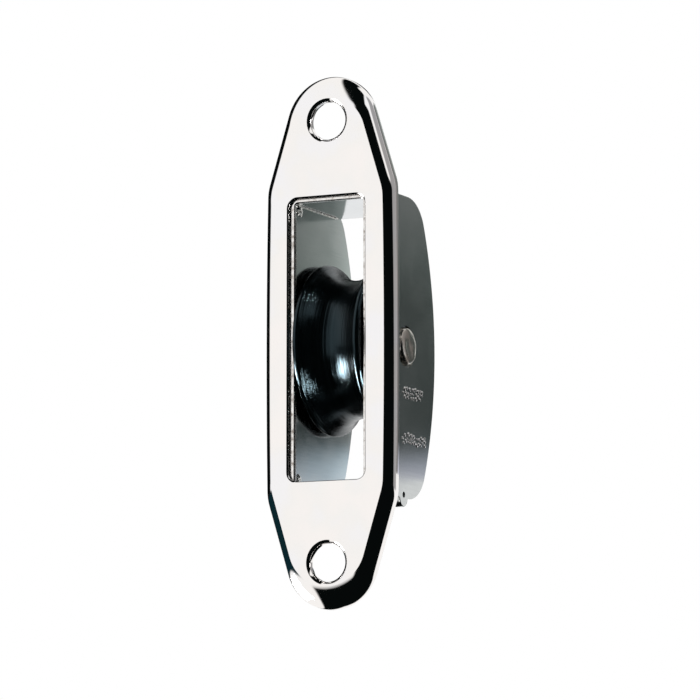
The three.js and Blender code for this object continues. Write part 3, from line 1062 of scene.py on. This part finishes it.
def mask(axis, start, end):
    """0 where a ray's facing is at start, 1 where it is at end, with a soft step between."""
    node = tree.nodes.new("ShaderNodeMapRange")
    node.interpolation_type = "SMOOTHSTEP"
    node.inputs["From Min"].default_value = start
    node.inputs["From Max"].default_value = end
    tree.links.new(facing(axis), node.inputs["Value"])
    return node.outputs["Result"]


def zone(*limits):
    """Where every limit holds. A limit is (axis, start, end), as mask takes them."""
    held = mask(*limits[0])
    for limit in limits[1:]:
        node = tree.nodes.new("ShaderNodeMath")
        node.operation = "MULTIPLY"
        tree.links.new(held, node.inputs[0])
        tree.links.new(mask(*limit), node.inputs[1])
        held = node.outputs[0]
    return held


def paint(under, amount, colour):
    node = tree.nodes.new("ShaderNodeMix")
    node.data_type = "RGBA"
    tree.links.new(amount, node.inputs["Factor"])
    if isinstance(under, tuple):
        node.inputs["A"].default_value = (*under, 1)
    else:
        tree.links.new(under, node.inputs["A"])
    node.inputs["B"].default_value = (*colour, 1)
    return node.outputs["Result"]


# %% [markdown]
# The zones, in the order they are painted: grey cloth far on the right, a black flag in front on the
# right, a black sheet and a strip overhead, a black cloth below in front, a dark blue-green one low
# on the left, and black behind on the left, which draws the thin dark line down the plate's left
# edge. The camera itself sees plain white behind the object, which a Light Path node picks out.

# %% Paint the tent
WHITE = (1.0, 0.995, 0.99)
BLACK = (0.002, 0.003, 0.003)
TEAL = (0.004, 0.020, 0.026)
GREY = (0.36, 0.355, 0.36)

RIGHT, LEFT = (1, 0, 0), (-1, 0, 0)
FRONT, REAR = (0, -1, 0), (0, 1, 0)
UP, DOWN = (0, 0, 1), (0, 0, -1)

grey_cloth = zone((RIGHT, 0.50, 0.60), (REAR, -0.10, 0.05), (UP, -0.02, 0.06))
right_flag = zone(((0.122, -0.578, -0.8065), -0.20, -0.15), (RIGHT, -0.17, -0.10))
top_sheet = zone((RIGHT, -0.23, -0.15), (LEFT, -0.28, -0.20), (UP, 0.46, 0.54), (FRONT, -0.45, -0.38))
top_strip = zone((RIGHT, -0.08, -0.01), (LEFT, -0.52, -0.44), (UP, 0.36, 0.40), (FRONT, 0.08, 0.14))
low_cloth = zone((DOWN, 0.20, 0.28), (RIGHT, -0.58, -0.54), ((-0.75, -0.66, 0), -0.25, -0.15))
teal_cloth = zone((DOWN, -0.04, 0), (UP, -0.19, -0.15), (LEFT, 0.62, 0.72))
rear_flag = zone(((-0.80, 0.60, 0), 0.58, 0.64), (UP, -0.04, 0.02), (DOWN, -0.86, -0.80))

tent = paint(WHITE, grey_cloth, GREY)
for dark in (right_flag, top_sheet, top_strip, low_cloth):
    tent = paint(tent, dark, BLACK)
tent = paint(tent, teal_cloth, TEAL)
tent = paint(tent, rear_flag, BLACK)

background = tree.nodes["Background"]
tree.links.new(tent, background.inputs["Color"])
plain = tree.nodes.new("ShaderNodeBackground")
plain.inputs["Color"].default_value = (1, 1, 1, 1)
choose = tree.nodes.new("ShaderNodeMixShader")
light_path = tree.nodes.new("ShaderNodeLightPath")
tree.links.new(light_path.outputs["Is Camera Ray"], choose.inputs["Fac"])
tree.links.new(background.outputs["Background"], choose.inputs[1])
tree.links.new(plain.outputs["Background"], choose.inputs[2])
tree.links.new(choose.outputs["Shader"], tree.nodes["World Output"].inputs["Surface"])
print("tent has", len(tree.nodes), "nodes")

# %% [markdown]
# ## Softbox and grey cards
# A softbox low on the left puts the highlight in the sheave's groove. Three grey cards stand side
# by side close behind on the right, where the cheeks look. They turn the cheeks from near-white to
# a deep grey, lighter towards the top and the foot. Each card glows, and its glow is painted light
# and shade, graded up its height, and on the inner one across its width too. They only show in
# reflections, and they aren't part of the object.

# %% Softbox
def softbox(name, towards, distance, size, power):
    lamp = bpy.data.lights.new(name, "AREA")
    lamp.shape = "RECTANGLE"
    lamp.size, lamp.size_y = size
    lamp.energy = power
    box = bpy.data.objects.new(name, lamp)
    bpy.context.scene.collection.objects.link(box)
    aim = Vector(towards).normalized()
    box.location = Vector((0, AXLE_Y, 0)) + aim * distance
    box.rotation_mode = "QUATERNION"
    box.rotation_quaternion = aim.to_track_quat("Z", "Y")
    box.visible_camera = False
    return box


softbox("low_left_softbox", (-0.93, -0.20, -0.47), 1.5, (1.20, 0.62), 200)

# %% Grey cards
CARD_AWAY = 0.060
CARD_FOOT = -0.0175
CARD_TOP = 0.075
CARD_GRADED = 0.035

mirror_way = Vector((back.x, -back.y, -back.z))
across = Vector((mirror_way.y, -mirror_way.x, 0)).normalized()


def card_level(material, axis, start, end):
    """How far a point lies along an axis, from 0 at start to 1 at end."""
    nodes = material.node_tree.nodes
    links = material.node_tree.links
    along = nodes.new("ShaderNodeVectorMath")
    along.operation = "DOT_PRODUCT"
    along.inputs[1].default_value = axis
    links.new(nodes.new("ShaderNodeTexCoord").outputs["Object"], along.inputs[0])
    level = nodes.new("ShaderNodeMapRange")
    level.inputs["From Min"].default_value = start
    level.inputs["From Max"].default_value = end
    links.new(along.outputs["Value"], level.inputs["Value"])
    return level.outputs["Result"]


def card(name, left, right_edge, upward, sideways):
    material = bpy.data.materials.new(name)
    material.use_nodes = True
    nodes = material.node_tree.nodes
    nodes.clear()
    glow = nodes.new("ShaderNodeEmission")
    output = nodes.new("ShaderNodeOutputMaterial")
    material.node_tree.links.new(glow.outputs[0], output.inputs["Surface"])
    # The glow's colour and strength are painted light and shade, graded up and across the card.
    ramp(material, card_level(material, Vector((0, 0, 1)), CARD_FOOT, CARD_GRADED),
         glow.inputs["Color"], *upward)
    offset = across.y * AXLE_Y
    ramp(material, card_level(material, across, left + offset, right_edge + offset),
         glow.inputs["Strength"], *sideways)
    middle = Vector((0, AXLE_Y, 0)) + mirror_way * CARD_AWAY
    middle.z = 0
    mesh = bmesh.new()
    corners = [(left, CARD_FOOT), (right_edge, CARD_FOOT), (right_edge, CARD_TOP), (left, CARD_TOP)]
    mesh.faces.new([mesh.verts.new(middle + across * u + Vector((0, 0, v))) for u, v in corners])
    made = add_object(name, mesh)
    made.data.materials.append(material)
    made.visible_camera = False
    made.visible_diffuse = False
    made.visible_shadow = False
    made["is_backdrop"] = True


EVEN = [(0, grey(1.0)), (1, grey(1.0))]
# Painted light and shade for the cheeks to mirror: a bright foot, a dark band and a lighter top.
card("inner_card", -0.0118, 0.0005,
     [(0.0, (0.52, 0.60, 0.68)), (0.08, (0.36, 0.44, 0.50)), (0.17, (0.006, 0.014, 0.013)),
      (0.38, (0.07, 0.085, 0.08)), (0.75, (0.24, 0.27, 0.255)), (1.0, (0.27, 0.29, 0.28))],
     [(0.0, grey(2.6)), (0.12, grey(2.4)), (0.38, grey(1.1)), (1.0, grey(1.0))])
card("outer_card", 0.0005, 0.0125,
     [(0.0, (0.62, 0.62, 0.72)), (0.05, (0.40, 0.42, 0.48)), (0.12, (0.070, 0.080, 0.078)),
      (0.42, (0.060, 0.070, 0.068)), (0.62, (0.055, 0.065, 0.062)), (0.80, (0.10, 0.115, 0.11)),
      (1.0, (0.17, 0.18, 0.175))], EVEN)
card("pale_card", 0.0125, 0.024, [(0.0, (0.21, 0.20, 0.20)), (1.0, (0.26, 0.25, 0.25))], EVEN)

# %% [markdown]
# ## Floor
# A plain pale floor lies below the object. It takes a soft shadow in the other views. Polished
# metal would mirror it, so it is kept out of reflections and the tent decides what they show.

# %% Floor
FLOOR_Z = plate_low.z - 0.060
floor_mesh = bmesh.new()
bmesh.ops.create_grid(floor_mesh, x_segments=1, y_segments=1, size=3.0)
floor = add_object("floor", floor_mesh)
floor.location.z = FLOOR_Z
floor_material, floor_shader = new_finish("pale_floor", Roughness=0.9)
ramp(floor_material, noise(floor_material, (1, 1, 1), 8, 3.0), floor_shader.inputs["Base Color"],
     (0.3, (0.86, 0.86, 0.86)), (0.7, (0.90, 0.90, 0.90)))
floor.data.materials.append(floor_material)
floor.visible_glossy = False
floor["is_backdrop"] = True

# %% [markdown]
# ## The size
# The size of the box round the visual model is printed. The visual model has to stay
# inside the CAD box.

# %% Sizes and finish
low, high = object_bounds()
print("visual box in mm:", [round(v / MM, 2) for v in (high - low)])
